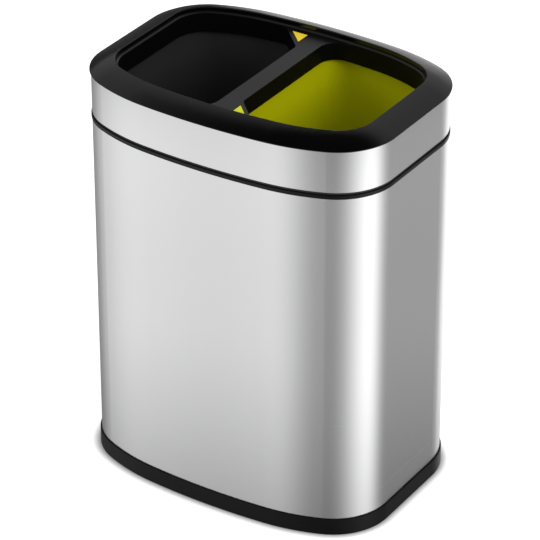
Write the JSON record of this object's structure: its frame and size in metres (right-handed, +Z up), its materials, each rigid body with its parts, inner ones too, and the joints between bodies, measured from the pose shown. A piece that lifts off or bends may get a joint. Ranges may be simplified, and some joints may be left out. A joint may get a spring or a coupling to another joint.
{
  "type": "recycling bin",
  "caption": "Free-standing brushed steel bin for sorted waste, with a lift-off black cover whose bridge parts its openings, and lift-out inner buckets with folding bails.",
  "frame": {"origin": "on the floor under the middle of the base", "axes": "+X towards the lime bucket, +Y towards the back, +Z up"},
  "size_m": [0.3382, 0.2462, 0.4434],
  "materials": {
    "body_steel": "fine horizontal brushing",
    "band_steel": "fine horizontal brushing",
    "screw_steel": "zinc plated",
    "trim_plastic": "satin dark grey",
    "base_plastic": "satin black",
    "ring_plastic": "satin black",
    "retainer_plastic": "satin black",
    "frame_plastic": "satin black",
    "foot_rubber": "matt",
    "badge_lime": "printed film",
    "badge_amber": "printed film",
    "black_bucket_plastic": "fine moulded texture",
    "lime_bucket_plastic": "fine moulded texture",
    "black_bail_plastic": "satin",
    "lime_bail_plastic": "satin"
  },
  "bodies": {
    "bin": {"body_shell": "body_steel", "body_top_trim": "trim_plastic", "base_pan": "base_plastic", "base_feet": "foot_rubber", "base_screws": "screw_steel"},
    "cover": {"cover_band": "band_steel", "cover_ring": "ring_plastic", "cover_retainer": "retainer_plastic", "cover_screws": "screw_steel", "opening_frame": "frame_plastic", "badge_front": "badge_lime", "badge_rear": "badge_amber"},
    "black_bucket": {"bucket_black": "black_bucket_plastic"},
    "lime_bucket": {"bucket_lime": "lime_bucket_plastic"},
    "black_bail": {"bail_black": "black_bail_plastic"},
    "lime_bail": {"bail_lime": "lime_bail_plastic"}
  },
  "joints": [
    {"name": "cover_lift", "type": "slide", "parent": "bin", "child": "cover", "axis": [0, 0, 1], "range_m": [0, 0.8]},
    {"name": "bucket_black_lift", "type": "slide", "parent": "bin", "child": "black_bucket", "axis": [0, 0, 1], "range_m": [0, 0.4]},
    {"name": "bucket_lime_lift", "type": "slide", "parent": "bin", "child": "lime_bucket", "axis": [0, 0, 1], "range_m": [0, 0.4]},
    {"name": "bail_black_swing", "type": "hinge", "parent": "black_bucket", "child": "black_bail", "pos_m": [-0.077, 0, 0.4265], "axis": [1, 0, 0], "range_deg": [0, 90]},
    {"name": "bail_lime_swing", "type": "hinge", "parent": "lime_bucket", "child": "lime_bail", "pos_m": [0.077, 0, 0.4265], "axis": [1, 0, 0], "range_deg": [0, 90]}
  ],
  "couplings": [
    {"joint": "bucket_black_lift", "follows": "cover_lift", "ratio": 0.5},
    {"joint": "bucket_lime_lift", "follows": "cover_lift", "ratio": 0.5},
    {"joint": "bail_black_swing", "follows": "cover_lift", "rad_per_m": 1.963},
    {"joint": "bail_lime_swing", "follows": "cover_lift", "rad_per_m": 1.963}
  ]
}
